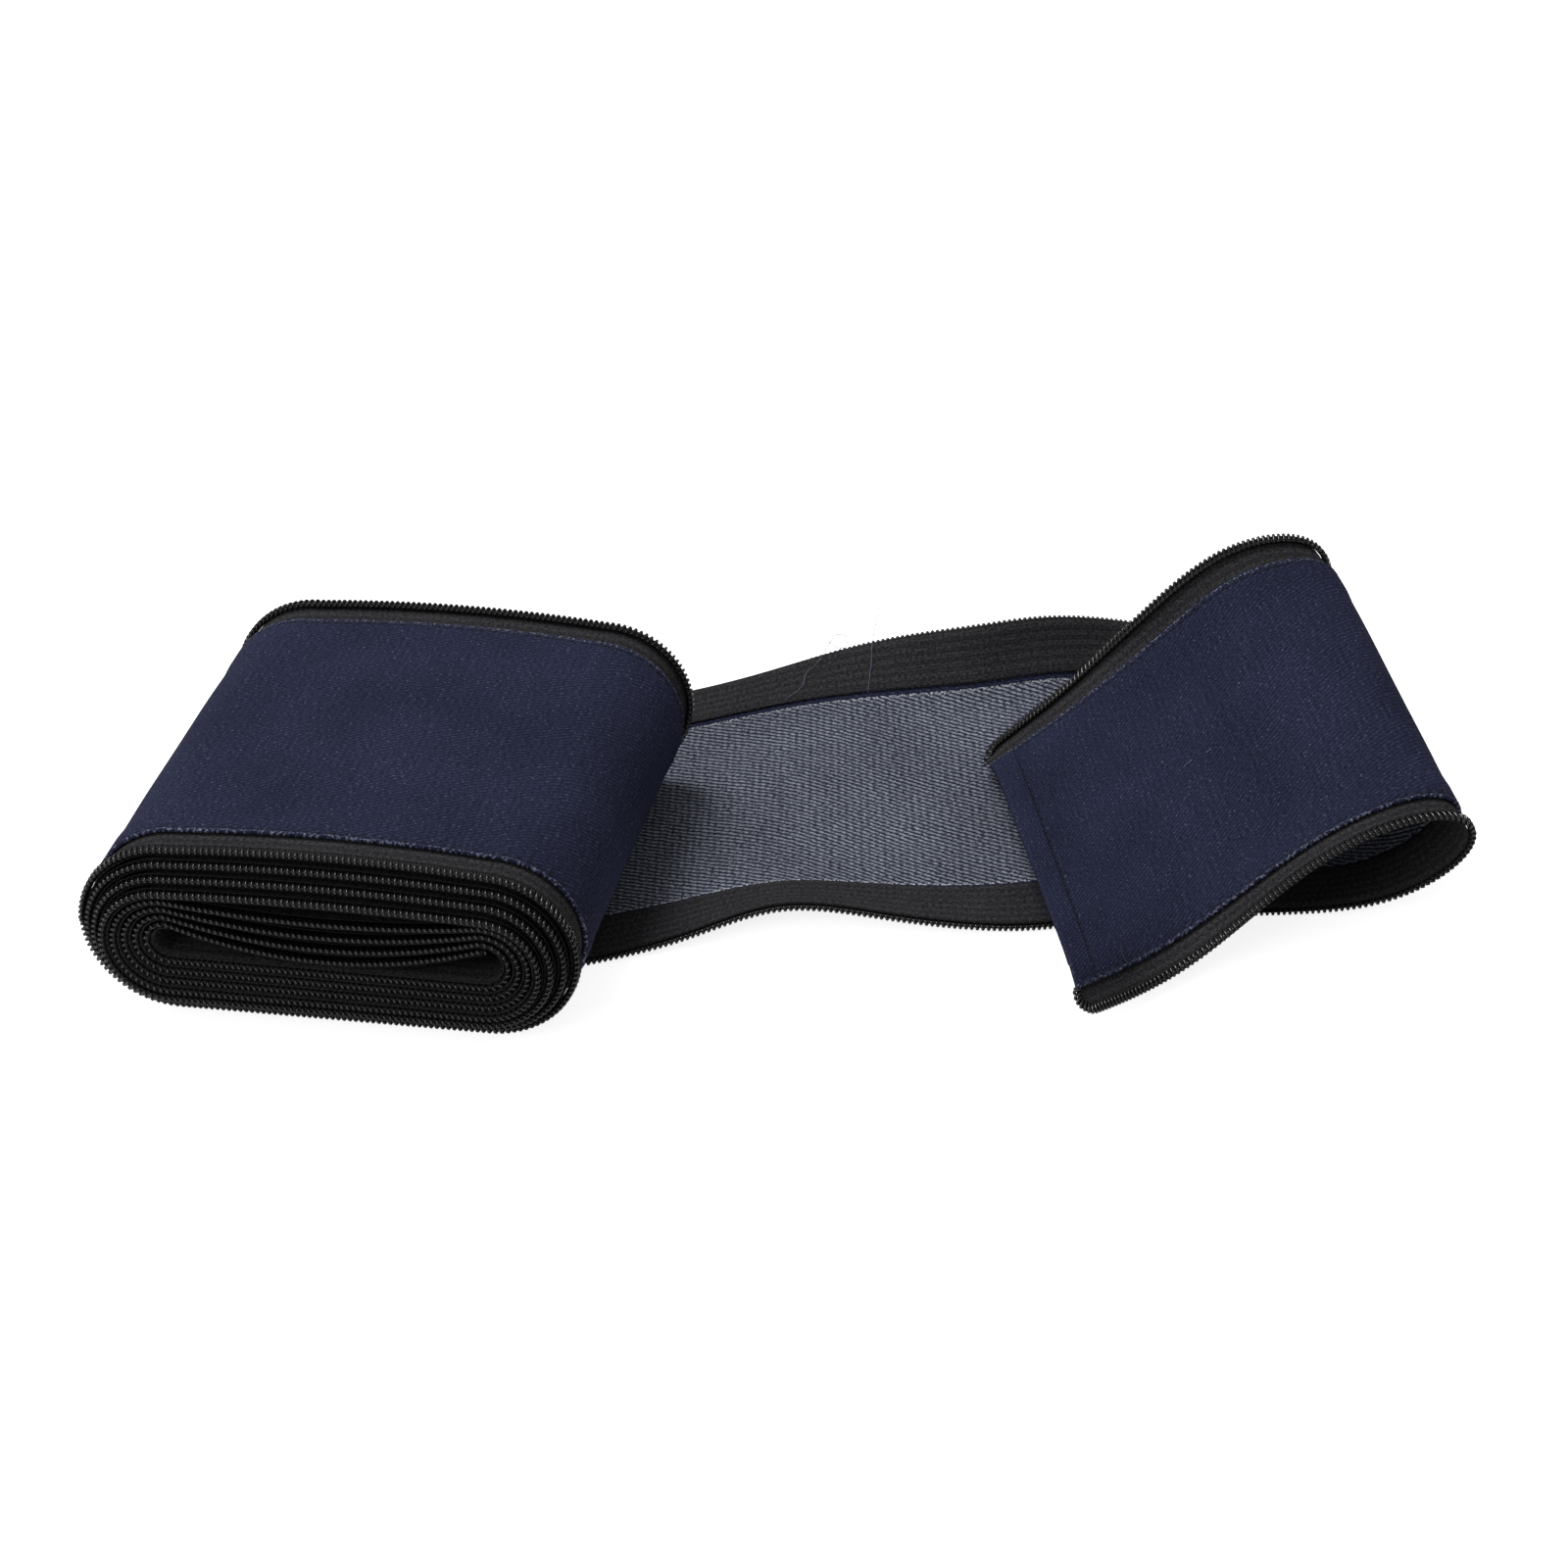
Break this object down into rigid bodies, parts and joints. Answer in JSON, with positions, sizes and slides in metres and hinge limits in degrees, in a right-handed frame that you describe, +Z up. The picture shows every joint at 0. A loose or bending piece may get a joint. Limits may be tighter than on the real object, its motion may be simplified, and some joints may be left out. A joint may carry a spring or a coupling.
{
  "type": "cable sleeve",
  "caption": "Rolled fabric cable sleeve: a long denim strip with a parted zip tape and coil along each edge, its loose end looped back. Zips round a bundle of cables.",
  "frame": {"origin": "under the middle of the whole part, on the surface it lies on", "axes": "+X from the roll towards the loose end's loop, +Y along the roll's axis from its front to its back, +Z up"},
  "size_m": [0.3422, 0.2246, 0.0544],
  "materials": {
    "denim": "indigo denim, light blue twill on its inner side",
    "tape": "woven black tape",
    "coil": "black nylon"
  },
  "bodies": {
    "root": {"denim_strip": "denim", "front_tape": "tape", "back_tape": "tape", "front_coil": "coil", "back_coil": "coil"}
  },
  "joints": []
}
